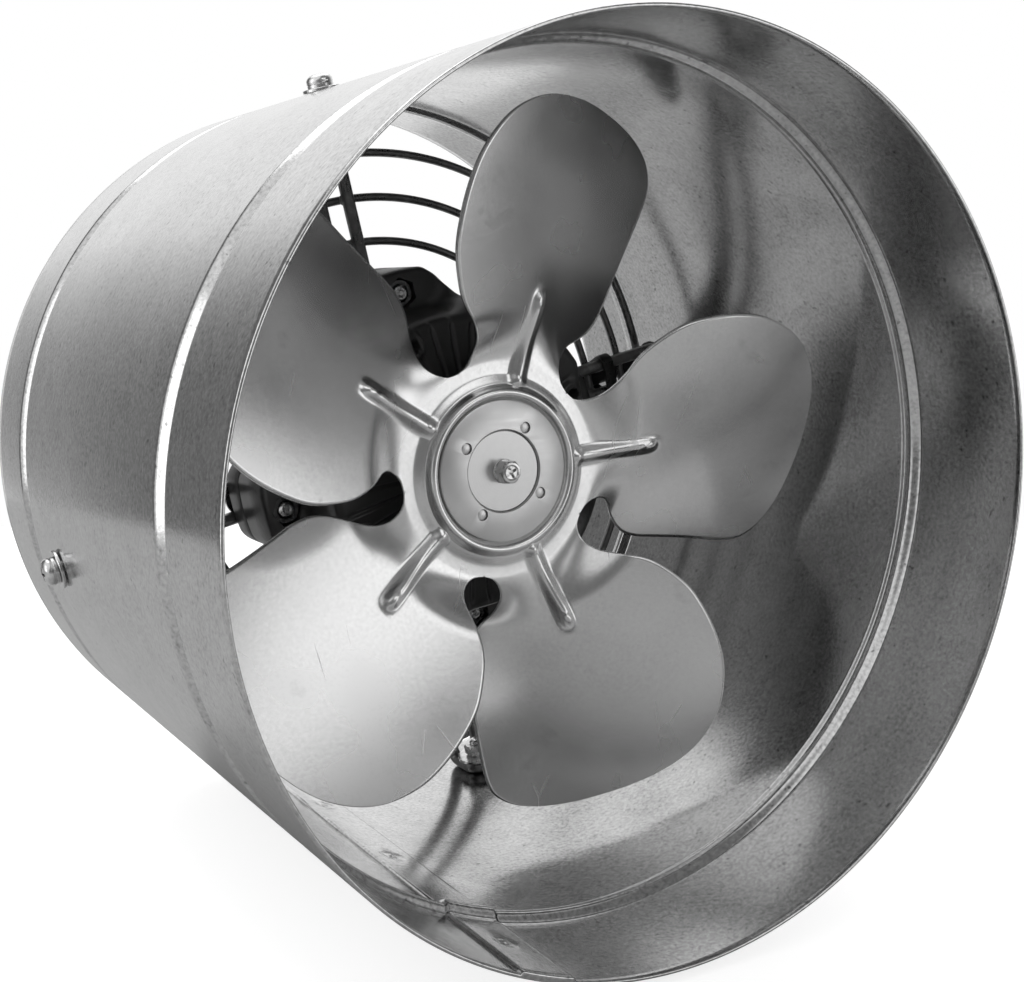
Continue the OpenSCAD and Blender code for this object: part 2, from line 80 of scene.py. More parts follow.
# ---------------------------------------------------------------- Camera
# Close to the open front end, a little to its left and just above the axis, so that it sees the tube's
# left side, the whole front rim and right through the blades to the motor.
view_azimuth = math.radians(-30.6)
view_height = math.radians(7.74)
camera_data = bpy.data.cameras.new("studio_camera")
camera_data.sensor_width = 36.0
camera_data.lens = 50.3
camera_data.clip_start = 0.01
camera = bpy.data.objects.new("studio_camera", camera_data)
camera.location = (-0.1792, -0.2310, 0.0433)
camera.rotation_euler = (math.radians(90) - view_height, 0, view_azimuth)
bpy.context.scene.collection.objects.link(camera)
bpy.context.scene.camera = camera


# ---------------------------------------------------------------- Studio
# A round pale table under the tube, a white backdrop behind and to the right of it, a dim room on the other
# sides, and large soft lamps: one high behind the tube, two smaller ones in front.
table_r = 0.62
table_sides = 128
table_drop = 0.0004
table_middle = (0.0, 0.09)
table_z = cad_box[0][2] - table_drop
turns = np.arange(table_sides) * 2 * math.pi / table_sides
table_rim = np.stack([table_middle[0] + table_r * np.cos(turns), table_middle[1] + table_r * np.sin(turns), 0 * turns + table_z], -1)
table_mesh = bpy.data.meshes.new("studio_table")
table_mesh.from_pydata(table_rim.tolist(), [], [tuple(range(table_sides))])
table = bpy.data.objects.new("studio_table", table_mesh)
bpy.context.scene.collection.objects.link(table)


def add(tree, kind, settings=None, **inputs):
    """One shader node: settings are its properties, and each input is a value or another node's output."""
    made = tree.nodes.new("ShaderNode" + kind)
    for key, value in (settings or {}).items():
        setattr(made, key, value)
    for key, value in inputs.items():
        socket = made.inputs[key.replace("_", " ")]
        if isinstance(value, bpy.types.NodeSocket):
            tree.links.new(value, socket)
        else:
            socket.default_value = value
    return made


def new_material(name):
    """An empty material with its Principled shader, ready for nodes: (material, tree, shader)."""
    material = bpy.data.materials.new(name)
    material.use_nodes = True
    tree = material.node_tree
    return material, tree, tree.nodes["Principled BSDF"]


def grey_ramp(tree, amount, stops):
    """Colours along a ramp of (place, colour) stops, read at amount."""
    ramp = add(tree, "ValToRGB", Fac=amount)
    while len(ramp.color_ramp.elements) < len(stops):
        ramp.color_ramp.elements.new(0.5)
    for element, (place, colour) in zip(ramp.color_ramp.elements, stops):
        element.position = place
        element.color = (*colour, 1.0)
    return ramp.outputs["Color"]


def grey(level):
    """A neutral colour."""
    return (level, level, level)


def noise(tree, place, scale, detail=2.0):
    """Smooth noise between 0 and 1 with blobs about 1/scale metres across."""
    return add(tree, "TexNoise", Vector=place, Scale=scale, Detail=detail).outputs["Fac"]


def spread(tree, value, low, high, start=0.3, end=0.7):
    """value stretched so that start becomes low and end becomes high."""
    return add(tree, "MapRange", Value=value, From_Min=start, From_Max=end, To_Min=low, To_Max=high).outputs["Result"]


def maths(tree, operation, *values):
    """A sum, product or other operation on two or three values or outputs."""
    made = add(tree, "Math", {"operation": operation})
    for socket, value in zip(made.inputs, values):
        if isinstance(value, bpy.types.NodeSocket):
            tree.links.new(value, socket)
        else:
            socket.default_value = value
    return made.outputs[0]


table_paper, tree, shader = new_material("studio_paper")
place = add(tree, "TexCoord").outputs["Object"]
seen = add(tree, "LightPath").outputs["Is Camera Ray"]
paper = grey_ramp(tree, noise(tree, place, 3.0), [(0.3, grey(0.50)), (0.7, grey(0.54))])
tree.links.new(paper, shader.inputs["Base Color"])
tree.links.new(maths(tree, "MULTIPLY", seen, 0.78), shader.inputs["Emission Strength"])
shader.inputs["Emission Color"].default_value = (1.0, 1.0, 1.0, 1.0)
shader.inputs["Roughness"].default_value = 0.8
table_mesh.materials.append(table_paper)

world = bpy.data.worlds.new("studio_room")
bpy.context.scene.world = world
world.use_nodes = True
tree = world.node_tree
toward = add(tree, "SeparateXYZ", Vector=add(tree, "TexCoord").outputs["Generated"]).outputs
behind = spread(tree, toward["Y"], 0.0, 1.0, -0.25, 0.35)
right_of_edge = spread(tree, toward["X"], 0.0, 1.0, -0.26, -0.06)
above = maths(tree, "MAXIMUM", maths(tree, "SUBTRACT", toward["Z"], 0.1), 0.0)
left_wall = spread(tree, maths(tree, "MULTIPLY_ADD", above, -0.9, toward["X"]), 0.9, 0.0, -0.86, -0.77)
not_behind = spread(tree, toward["Y"], 1.0, 0.0, 0.45, 0.62)
beside = maths(tree, "MULTIPLY", left_wall, not_behind)
backdrop_part = maths(tree, "MAXIMUM", maths(tree, "MULTIPLY", behind, right_of_edge), beside)
room = grey_ramp(tree, backdrop_part, [(0.0, grey(0.17)), (1.0, grey(1.0))])
seen = add(tree, "LightPath").outputs["Is Camera Ray"]
backdrop = add(tree, "Background", Color=(1.0, 1.0, 1.0, 1.0), Strength=1.0)
surround = add(tree, "Background", Color=room, Strength=1.0)
both = tree.nodes.new("ShaderNodeMixShader")
tree.links.new(seen, both.inputs[0])
tree.links.new(surround.outputs[0], both.inputs[1])
tree.links.new(backdrop.outputs[0], both.inputs[2])
tree.links.new(both.outputs[0], tree.nodes["World Output"].inputs["Surface"])


def softbox(name, place, aim, width, height, watts):
    """A rectangular lamp at place that faces the point aim."""
    lamp = bpy.data.lights.new(name, "AREA")
    lamp.shape = "RECTANGLE"
    lamp.size = width
    lamp.size_y = height
    lamp.energy = watts
    made = bpy.data.objects.new(name, lamp)
    made.location = place
    away = np.array(place) - np.array(aim)
    away = away / np.linalg.norm(away)
    made.rotation_euler = (math.acos(away[2]), 0, math.atan2(away[0], -away[1]))
    bpy.context.scene.collection.objects.link(made)


softbox("lamp_high", (0.10, 0.85, 1.65), (0, 0.1, 0), 1.9, 1.3, 10)
softbox("lamp_right", (0.80, -0.92, -0.03), (0, 0.05, 0), 0.8, 0.72, 2.3)
softbox("lamp_left", (-1.5, 0.22, 0.25), (0, 0.1, 0), 0.5, 1.3, 2.5)
softbox("lamp_above", (0.22, -1.05, 0.72), (0, 0.05, 0), 0.8, 0.5, 1.6)
bpy.context.scene.view_settings.view_transform = "Standard"


# ---------------------------------------------------------------- Duct tube
# One rolled sheet of galvanised steel, lapped and spot-welded low on the left, with two beads rolled inward
# that stiffen the tube and seat a duct's clamp. Its zinc shows a faint mottle and fine specks.
mm = 0.001
tube_r = 100.0
sheet = 0.8
tube_len = 185.0
bead_places = (34.5, 154.0)
bead_half = 3.1
bead_sink = 1.9
bead_ramp = 2.8
far_side = 1.5
lap_from, lap_to = 246.0, 254.0
weld_depths = (18.0, 73.0, 114.0)
weld_r = 2.6


def smooth(x):
    """Smooth step: 0 below 0, 1 above 1, 3x^2 - 2x^3 between."""
    x = np.clip(x, 0.0, 1.0)
    return x * x * (3 - 2 * x)


def grid_faces(rows, cols, close_rows=False, close_cols=False):
    """Quads of a grid of rows x cols points, joined back to its first row or column where asked."""
    r = np.arange(rows if close_rows else rows - 1)[:, None]
    c = np.arange(cols if close_cols else cols - 1)[None, :]
    r2 = (r + 1) % rows
    c2 = (c + 1) % cols
    corners = [r * cols + c, r * cols + c2, r2 * cols + c2, r2 * cols + c]
    return np.stack(np.broadcast_arrays(*corners), -1).reshape(-1, 4)


def build(name, parts, material, body, slot, stands_for=(), sharp=40.0, weld=0.002):
    """A mesh piece from (points in millimetres, faces) parts. It is shaded smooth but for edges sharper than
    sharp degrees, rides its body, takes its slot and stands for its CAD nodes."""
    points = np.concatenate([np.asarray(p, float).reshape(-1, 3) for p, f in parts]) * mm
    starts = np.cumsum([0] + [np.asarray(p).reshape(-1, 3).shape[0] for p, f in parts])
    faces = [tuple(q) for (p, f), start in zip(parts, starts) for q in (np.asarray(f) + start).tolist()]
    mesh = bpy.data.meshes.new(name)
    mesh.from_pydata(points.tolist(), [], faces)
    work = bmesh.new()
    work.from_mesh(mesh)
    bmesh.ops.remove_doubles(work, verts=work.verts, dist=weld * mm)
    bmesh.ops.recalc_face_normals(work, faces=work.faces)
    work.to_mesh(mesh)
    work.free()
    mesh.polygons.foreach_set("use_smooth", np.ones(len(mesh.polygons), bool))
    mesh.set_sharp_from_angle(angle=math.radians(sharp))
    mesh.materials.append(material)
    made = bpy.data.objects.new(name, mesh)
    bpy.context.scene.collection.objects.link(made)
    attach(made, body)
    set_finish(made, slot)
    if stands_for:
        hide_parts(*stands_for)
    return made


def bead_depth(y):
    """How far the rolled beads sink under the plain tube: a narrow crown with a smooth ramp on each side, the
    one away from the front rim half as long again."""
    away = np.min([np.maximum(place - y, (y - place) / far_side) for place in bead_places], axis=0)
    return bead_sink * smooth((bead_half - away) / bead_ramp)


def tube_wall():
    """A closed loop of (radius, depth) round the sheet's section, carried round the axis. The radius of both
    faces falls at the beads; the inner face steps in by one sheet where the ends lap, with a dent at each
    spot weld; and the whole tube is out of round by a few hundredths."""
    near_bead = [np.linspace(p - bead_half - 0.4, p + far_side * bead_half + 0.4, 28) for p in bead_places]
    weld_rows = [np.linspace(w - 3, w + 3, 9) for w in weld_depths]
    plain = np.arange(2.0, tube_len - 1, 6.0)
    depth = np.unique(np.round(np.concatenate([plain] + near_bead + weld_rows), 3))
    depth = depth[(depth > 0.6) & (depth < tube_len - 0.6)]
    lip = np.array([0.0, 0.08, 0.25])
    out_y = np.concatenate([lip, depth, tube_len - lip[::-1]])
    out_in = np.concatenate([[0.3, 0.1, 0.0], 0 * depth, [0.0, 0.1, 0.3]])
    y = np.concatenate([out_y, out_y[::-1]])[:, None]
    from_middle = np.concatenate([sheet / 2 - out_in, -(sheet / 2 - out_in[::-1])])[:, None]
    fine = np.linspace(lap_from - 3, lap_to + 5, 76)
    angle = np.concatenate([np.arange(fine[-1] - 360 + 1.0, fine[0] - 0.5, 1.25), fine])[None, :]
    inner = from_middle < 0
    lap = smooth((angle - lap_from) / 0.25) * smooth((lap_to - angle) / 0.4)
    outside_step = smooth((angle - lap_to) / 0.2) * smooth((lap_to + 4.5 - angle) / 4.3)
    radius = tube_r - sheet / 2 + from_middle - bead_depth(y)
    radius = radius - sheet * lap * inner - 0.45 * outside_step * ~inner
    for depth_of_weld in weld_depths:
        away = np.hypot(y - depth_of_weld, (angle - (lap_from + 4)) * math.pi / 180 * tube_r)
        radius = radius + 0.35 * np.exp(-(away / weld_r) ** 4) * (1 - 1.6 * np.exp(-(away / 1.1) ** 2)) * inner
    radius = radius + 0.05 * np.sin(np.radians(3 * angle) + y / 60) + 0.03 * np.sin(np.radians(7 * angle) - y / 35)
    a = np.radians(angle)
    points = np.stack(np.broadcast_arrays(radius * np.cos(a), y + 0 * a, radius * np.sin(a)), -1)
    return points, grid_faces(points.shape[0], points.shape[1], close_rows=True, close_cols=True)


galvanised, tree, shader = new_material("galvanised_zinc")
place = add(tree, "TexCoord").outputs["Object"]
wander = add(tree, "TexNoise", Vector=place, Scale=90.0, Detail=2.0).outputs["Color"]
bent_place = add(tree, "MixRGB", {"blend_type": "ADD"}, Fac=0.006, Color1=place, Color2=wander).outputs["Color"]
crystals = add(tree, "TexVoronoi", Vector=bent_place, Scale=170.0).outputs["Color"]
crystal = add(tree, "SeparateColor", Color=crystals).outputs["Red"]
specks = noise(tree, place, 1050.0, 3.0)
clouds = noise(tree, place, 28.0, 3.0)
dark_dots = spread(tree, noise(tree, place, 560.0, 1.0), 0.0, 0.30, 0.71, 0.78)
mottle = maths(tree, "MULTIPLY_ADD", crystal, 0.10, maths(tree, "MULTIPLY", specks, 0.9))
tone = maths(tree, "SUBTRACT", mottle, dark_dots)
tones = [(0.18, grey(0.28)), (0.38, grey(0.52)), (0.50, grey(0.60)), (0.68, grey(0.70))]
tree.links.new(grey_ramp(tree, tone, tones), shader.inputs["Base Color"])
shader.inputs["Metallic"].default_value = 1.0
tree.links.new(spread(tree, maths(tree, "MULTIPLY_ADD", specks, 0.5, maths(tree, "MULTIPLY", clouds, 0.5)), 0.14, 0.19, 0.35, 0.65),
               shader.inputs["Roughness"])
fine_relief = add(tree, "Bump", Strength=0.22, Distance=0.00006, Height=specks)
crystal_relief = add(tree, "Bump", Strength=0.15, Distance=0.00004, Height=crystal, Normal=fine_relief.outputs[0])
waves = add(tree, "Bump", Strength=0.6, Distance=0.0006, Height=noise(tree, place, 11.0, 1.0), Normal=crystal_relief.outputs[0])
tree.links.new(waves.outputs[0], shader.inputs["Normal"])
build("tube_sheet", [tube_wall()], galvanised, "housing", "galvanised", ["duct_shell"], sharp=55)


# ---------------------------------------------------------------- Spokes and guard
# Four closed loops of 3.6 mm rod hold the motor: each goes round a motor bolt, out to the wall, and forward
# along it round a wall bolt. Three rings of thinner wire are spot-welded behind them. All are dark coated.
spoke_turn = 14.0
spoke_y = 139.0
leg_gap = 4.2
rod_r = 1.8
motor_bolt_r = 45.5
foot_r = 97.2
foot_y = 130.0
bend_r = 3.0
wire_r = 1.15
guard_radii = (59.0, 71.2, 83.4)
guard_y = spoke_y + rod_r + wire_r
duct_axis = np.array([0.0, 1.0, 0.0])


def quarter(k, turn=spoke_turn):
    """Outward and counter-clockwise directions at the k-th of four places round the axis."""
    a = math.radians(turn + 90 * k)
    return np.array([math.cos(a), 0, math.sin(a)]), np.array([-math.sin(a), 0, math.cos(a)])


def swept(path, normals, radius, sides=16, closed=True):
    """A round section carried along a path: point + radius (normal cos a + side sin a), where side is square to
    the path and to its normal. An open path closes at both ends on a rounded tip."""
    path, normals = np.array(path, float), np.array(normals, float)
    radius = np.full(len(path), float(radius))
    if closed:
        ahead = np.roll(path, -1, 0) - np.roll(path, 1, 0)
    else:
        ahead = np.gradient(path, axis=0)
        tip = radius[0] * 0.3
        first, last = ahead[0] / np.linalg.norm(ahead[0]), ahead[-1] / np.linalg.norm(ahead[-1])
        path = np.concatenate([[path[0] - first * tip, path[0] - first * tip], path, [path[-1] + last * tip, path[-1] + last * tip]])
        normals = np.concatenate([normals[:1], normals[:1], normals, normals[-1:], normals[-1:]])
        ahead = np.concatenate([ahead[:1], ahead[:1], ahead, ahead[-1:], ahead[-1:]])
        radius = np.concatenate([[0, radius[0] * 0.7], radius, [radius[0] * 0.7, 0]])
    across = np.cross(ahead, normals)
    across = across / np.linalg.norm(across, axis=1, keepdims=True)
    a = np.arange(sides) * 2 * math.pi / sides
    ring = normals[:, None] * np.cos(a)[None, :, None] + across[:, None] * np.sin(a)[None, :, None]
    points = path[:, None] + ring * radius[:, None, None]
    return points, grid_faces(len(path), sides, close_rows=closed, close_cols=True)


def spoke_loop(k):
    """The k-th spoke's rod: half a turn round the motor bolt, a leg out, a bend along the wall, half a turn
    round the wall bolt, and back. Its normal is square to the surface that the loop lies on."""
    half = np.linspace(0, math.pi, 25)
    quarter_turn = np.linspace(0, math.pi / 2, 9)
    leg = np.linspace(motor_bolt_r + 3, foot_r - bend_r - 2, 24)
    wall = np.linspace(spoke_y - bend_r - 1, foot_y + 1, 4)
    inner = np.stack([motor_bolt_r - leg_gap * np.sin(half), 0 * half + spoke_y, leg_gap * np.cos(half)], -1)
    out = np.stack([leg, 0 * leg + spoke_y, 0 * leg - leg_gap], -1)
    bend = np.stack([foot_r - bend_r + bend_r * np.sin(quarter_turn), spoke_y - bend_r + bend_r * np.cos(quarter_turn),
                     0 * quarter_turn - leg_gap], -1)
    down = np.stack([0 * wall + foot_r, wall, 0 * wall - leg_gap], -1)
    foot = np.stack([0 * half + foot_r, foot_y - leg_gap * np.sin(half), -leg_gap * np.cos(half)], -1)
    mirror = np.array([1, 1, -1])
    path = np.concatenate([inner, out, bend, down, foot, down[::-1] * mirror, bend[::-1] * mirror, out[::-1] * mirror])
    lean = np.clip((path[:, 0] - (foot_r - bend_r)) / bend_r, 0, 1)
    outward, round_about = quarter(k)
    normal = lean[:, None] * outward + np.sqrt(1 - lean ** 2)[:, None] * duct_axis
    return path[:, :1] * outward + path[:, 1:2] * duct_axis + path[:, 2:] * round_about, normal


def guard_loop(radius):
    """A circle of the guard's wire about the axis, with its outward normal."""
    a = np.arange(240) * 2 * math.pi / 240
    outward = np.stack([np.cos(a), 0 * a, np.sin(a)], -1)
    return radius * outward + guard_y * duct_axis, outward


def nugget(middle, size):
    """A squashed ball: the middle plus size times a unit sphere's point."""
    up = np.linspace(0, math.pi, 9)[:, None]
    a = np.arange(14)[None, :] * 2 * math.pi / 14
    ball = np.stack([np.sin(up) * np.cos(a), np.cos(up) + 0 * a, np.sin(up) * np.sin(a)], -1)
    return middle + ball * size, grid_faces(9, 14, close_cols=True)


wire_coat, tree, shader = new_material("wire_coat")
place = add(tree, "TexCoord").outputs["Object"]
worn = noise(tree, place, 260.0, 3.0)
tree.links.new(grey_ramp(tree, worn, [(0.35, grey(0.20)), (0.6, grey(0.27)), (0.72, grey(0.42))]), shader.inputs["Base Color"])
tree.links.new(spread(tree, worn, 0.24, 0.40), shader.inputs["Roughness"])
shader.inputs["Metallic"].default_value = 0.75
bump = add(tree, "Bump", Strength=0.5, Distance=0.00004, Height=noise(tree, place, 900.0, 2.0))
tree.links.new(bump.outputs[0], shader.inputs["Normal"])

for k, side in enumerate(("right", "top", "left", "bottom")):
    build("rod_loop_" + side, [swept(*spoke_loop(k), rod_r)], wire_coat, "housing", "wire_grey", ["spoke_" + side])
for radius, which in zip(guard_radii, ("inner", "middle", "outer")):
    build("wire_ring_" + which, [swept(*guard_loop(radius), wire_r, 12)], wire_coat, "housing", "wire_grey", ["guard_ring_" + which])
nuggets = []
for k in range(4):
    outward, round_about = quarter(k)
    for radius in guard_radii:
        for side in (-leg_gap, leg_gap):
            middle = math.sqrt(radius ** 2 - side ** 2) * outward + side * round_about + (spoke_y + rod_r) * duct_axis
            nuggets.append(nugget(middle, np.array([1.9, 0.9, 1.9])))
build("spot_welds", nuggets, wire_coat, "housing", "wire_grey")


# ---------------------------------------------------------------- Wall bolts
# Four M4 pan-head screws clamp the spokes' feet to the tube, with a flat and a spring washer outside and a
# wide washer and a nut inside. All are bright zinc-plated steel.
screw_r = 2.0
nut_flats = 7.0
head_start = 102.1


def turned(profile, place, axis, side, limit=None, sides=64, ring=False, thread=0.0):
    """A profile of (distance along the axis, radius) rows carried round it. The radius is the smaller of the
    profile's and limit(angle), which gives flats; a thread's pitch cuts its ridges. A ring closes on itself."""
    d, r = np.array(profile, float)[:, 0][:, None], np.array(profile, float)[:, 1][:, None]
    a = np.arange(sides)[None, :] * 2 * math.pi / sides
    radius = r + 0 * a if limit is None else np.minimum(r, limit(a))
    if thread:
        phase = (d / thread - a / (2 * math.pi)) % 1.0
        radius = radius - 0.55 * thread * np.abs(phase - 0.5) * (r > 1.2)
    axis, side = np.array(axis, float), np.array(side, float)
    round_it = np.cos(a)[..., None] * side + np.sin(a)[..., None] * np.cross(axis, side)
    points = np.array(place, float) + d[..., None] * axis + radius[..., None] * round_it
    return points, grid_faces(len(profile), sides, close_rows=ring, close_cols=True)


def hexagon(flats):
    """A function from angle to a hexagon's radius, with a corner at angle 0."""
    return lambda a: flats / 2 / np.cos((a % (math.pi / 3)) - math.pi / 6)


def washer(start, thick, inner, outer, ease=0.12):
    """A flat ring's section with eased corners."""
    end = start + thick
    return [(start, inner), (start, outer - ease), (start + ease, outer), (end - ease, outer), (end, outer - ease), (end, inner)]


def nut(start, high, flats, inner):
    """A hexagon nut's section: chamfered outside, countersunk inside, for a hexagon limit."""
    corner = flats / 2 / math.cos(math.pi / 6)
    end = start + high
    return [(start + 0.4, inner), (start, inner + 0.4), (start, flats / 2 - 0.05), (start + 0.45, corner), (end - 0.45, corner),
            (end, flats / 2 - 0.05), (end, inner + 0.4), (end - 0.4, inner)]


def thread_rows(start, end, radius, step=0.1):
    """Close rows of one radius, for a thread."""
    rows = np.arange(start, end, step)
    return [(row, radius) for row in rows]


def cut(made, parts, sharp=40.0):
    """Takes the parts' space out of a piece, for good."""
    tool = build("cutting_tool", parts, made.data.materials[0], made["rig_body"], made["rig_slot"])
    step = made.modifiers.new("cut", "BOOLEAN")
    step.object = tool
    step.solver = "EXACT"
    finished = bpy.data.meshes.new_from_object(made.evaluated_get(bpy.context.evaluated_depsgraph_get()))
    made.modifiers.clear()
    made.data = finished
    finished.set_sharp_from_angle(angle=math.radians(sharp))
    bpy.data.objects.remove(tool)


def cross_recess(top, axis, side, reach, width, deep):
    """A cross-shaped prism about a screw head's top, for cutting: its radius at an angle f from an arm is the
    smaller of reach / cos f and width / sin f."""
    def cross(a):
        f = (a + math.pi / 4) % (math.pi / 2) - math.pi / 4
        return np.minimum(reach / np.cos(f), width / np.maximum(np.abs(np.sin(f)), 1e-6))
    return turned([(-deep, 0), (-deep, reach), (deep, reach), (deep, 0)], top, axis, side, cross, 72)


zinc, tree, shader = new_material("bright_zinc")
place = add(tree, "TexCoord").outputs["Object"]
tarnish = noise(tree, place, 420.0, 3.0)
tree.links.new(grey_ramp(tree, tarnish, [(0.3, grey(0.52)), (0.55, grey(0.72)), (0.7, grey(0.82))]), shader.inputs["Base Color"])
tree.links.new(spread(tree, tarnish, 0.14, 0.30), shader.inputs["Roughness"])
shader.inputs["Metallic"].default_value = 1.0
bump = add(tree, "Bump", Strength=0.5, Distance=0.00003, Height=noise(tree, place, 2200.0, 2.0))
tree.links.new(bump.outputs[0], shader.inputs["Normal"])

screws, recesses, flats, springs, wides, nuts = [], [], [], [], [], []
under_foot = foot_r - rod_r
for k in range(4):
    outward, round_about = quarter(k)
    at = foot_y * duct_axis
    shank = [(89.9, 0), (89.9, 1.5), (90.3, 1.95)] + thread_rows(90.4, 95.0, 2.05) + [(95.1, 1.95), (head_start, 1.95)]
    head = [(head_start, 3.4), (head_start + 0.3, 3.55), (head_start + 1.1, 3.5), (head_start + 1.8, 3.1), (head_start + 2.3, 2.3),
            (head_start + 2.5, 1.4), (head_start + 2.55, 0)]
    screws.append(turned(shank + head, at, outward, duct_axis, thread=0.0, sides=48))
    recesses.append(cross_recess(at + (head_start + 2.6) * outward, outward, duct_axis, 1.9, 0.42, 1.3))
    flats.append(turned(washer(100.25, 0.8, 2.2, 5.0), at, outward, duct_axis, ring=True))
    springs.append(turned(washer(101.1, 0.95, 2.1, 3.5), at, outward, duct_axis, ring=True))
    wides.append(turned(washer(under_foot - 0.95, 0.9, 2.2, 6.4), at, outward, duct_axis, ring=True))
    nuts.append(turned(nut(under_foot - 4.2, 3.2, nut_flats, 2.1), at, outward, duct_axis, hexagon(nut_flats), 72, ring=True))
bolt_heads = build("wall_screws", screws, zinc, "housing", "zinc", ["wall_bolts"], sharp=50)
cut(bolt_heads, recesses, 50)
build("washers_outside", flats, zinc, "housing", "zinc", ["flat_washers"])
build("spring_rings", springs, zinc, "housing", "spring_steel", ["spring_washers"])
build("washers_inside", wides, zinc, "housing", "zinc", ["foot_washers"])
build("nuts_inside", nuts, zinc, "housing", "zinc", ["wall_nuts"], sharp=25)


# ---------------------------------------------------------------- Motor castings
# Two pressure-cast aluminium shells, painted satin black. Their four lobes run smoothly into the round body;
# the front one has shallow radial grooves, a small drilled boss beside each lobe and a hexagon pocket for a nut.
body_r = 43.5
lobe_out = 8.0
lobe_front = 110.0
split_y = 127.0
rear_lobe = 137.0
groove_pitch = 9.0
boss_at = 35.0
boss_turn = 15.0
pocket_flats = 7.4
pocket_deep = 4.7


def lobe_share(angle):
    """How far an angle lies in a lobe, from 0 to 1: full for 5 mm each side of a bolt and gone by 19 mm."""
    turn = (angle - spoke_turn + 45) % 90 - 45
    return smooth((19 - np.abs(np.radians(turn)) * motor_bolt_r) / 13)


def front_casting():
    """A closed section of (radius, depth) carried round the axis. Outside it goes from one set of stations
    between the lobes to another on them, by lobe_share; grooves and bosses move the front face; inside it is
    the plain cavity."""
    angle = np.arange(900)[None, :] * 0.4
    share = lobe_share(angle)
    nose = np.array([(4, 89), (11, 89), (12.3, 89.5), (12.9, 90.8), (13.6, 91.7)])
    face_r = np.linspace(15, 37, 34)
    plain = np.concatenate([nose, np.stack([face_r, 91.8 + 0.045 * (face_r - 15)], -1),
                            [(39, 93.1), (40.5, 93.5), (41.8, 94.2), (42.7, 95.2), (43.3, 96.6), (43.5, 98.5), (43.5, 101),
                             (43.5, 105), (43.5, 109), (43.5, 112), (43.5, 118), (43.5, split_y - 0.3), (43.2, split_y)]])
    lobed = np.concatenate([nose, np.stack([face_r, 91.8 + 0.045 * (face_r - 15)], -1),
                            [(38.2, 93.2), (39.0, 94.8), (39.6, 98), (40.0, 102), (40.4, 106), (40.9, 108.6), (41.8, 109.8),
                             (43.4, 110), (49.6, 110), (50.9, 110.5), (51.5, 112), (51.5, split_y - 0.3), (51.2, split_y)]])
    radius = plain[:, :1] * (1 - share) + lobed[:, :1] * share
    depth = plain[:, 1:] * (1 - share) + lobed[:, 1:] * share
    on_face = smooth((radius - 15.5) / 1.5) * smooth((38.0 - radius) / 2.5)
    to_groove = np.abs((angle + groove_pitch / 2) % groove_pitch - groove_pitch / 2)
    depth = depth + 0.75 * on_face * smooth(1.25 - np.radians(to_groove) * radius / 0.75)
    to_boss = np.abs((angle - spoke_turn - boss_turn + 45) % 90 - 45)
    away = np.hypot(radius - boss_at, np.radians(to_boss) * boss_at)
    depth = depth - 1.2 * smooth((3.9 - away) / 0.8) * (depth < 98) + 3.0 * smooth((1.75 - away) / 0.4) * (depth < 98)
    cavity = np.array([(39.7, split_y), (39.7, 112), (38, 112), (38, 97.5), (10.5, 97.5), (10.5, 101), (7.1, 101), (7.1, 91.1), (4, 91.1)])
    radius = np.concatenate([radius, cavity[:, :1] + 0 * angle])
    depth = np.concatenate([depth, cavity[:, 1:] + 0 * angle])
    a = np.radians(angle)
    return np.stack([radius * np.cos(a), depth, radius * np.sin(a)], -1), grid_faces(len(radius), 900, close_rows=True, close_cols=True)


def rear_casting():
    """The same for the rear shell: lobes at the split, then the smaller round body and the closed bearing boss."""
    angle = np.arange(450)[None, :] * 0.8
    share = lobe_share(angle)
    plain = np.array([(43.2, split_y + 0.1), (43.5, split_y + 0.4), (43.5, 130), (43.5, 134), (43.1, 135.8), (42, 136.8), (40.4, 137.1),
                      (39.3, 137.9), (38.9, 139.5), (38.9, 152.5), (38.3, 154.3), (36.8, 155.4), (34.5, 155.5), (15.5, 155.5), (14.2, 155.7),
                      (13.5, 156.6), (13.4, 157.6), (12.6, 158.7), (11, 159), (0, 159)])
    lobed = plain.copy()
    lobed[:8] = [(51.2, split_y + 0.1), (51.5, split_y + 0.4), (51.5, 130), (51.5, 135.6), (51, 136.6), (50, 137), (41.2, 137), (39.6, 137.5)]
    cavity = np.array([(0, 153.5), (10.5, 153.5), (10.5, 151.5), (36, 151.5), (36, 132.2), (39.7, 132.2), (39.7, split_y + 0.1)])
    radius = np.concatenate([plain[:, :1] * (1 - share) + lobed[:, :1] * share, cavity[:, :1] + 0 * angle])
    depth = np.concatenate([plain[:, 1:] * (1 - share) + lobed[:, 1:] * share, cavity[:, 1:] + 0 * angle])
    ribs = smooth((radius - 16) / 2) * smooth((37 - radius) / 2) * (depth > 155)
    depth = depth + 0.5 * ribs * smooth(2.0 - np.abs((angle + 9) % 18 - 9) * 1.2)
    a = np.radians(angle)
    return np.stack([radius * np.cos(a), depth, radius * np.sin(a)], -1), grid_faces(len(radius), 450, close_rows=True, close_cols=True)


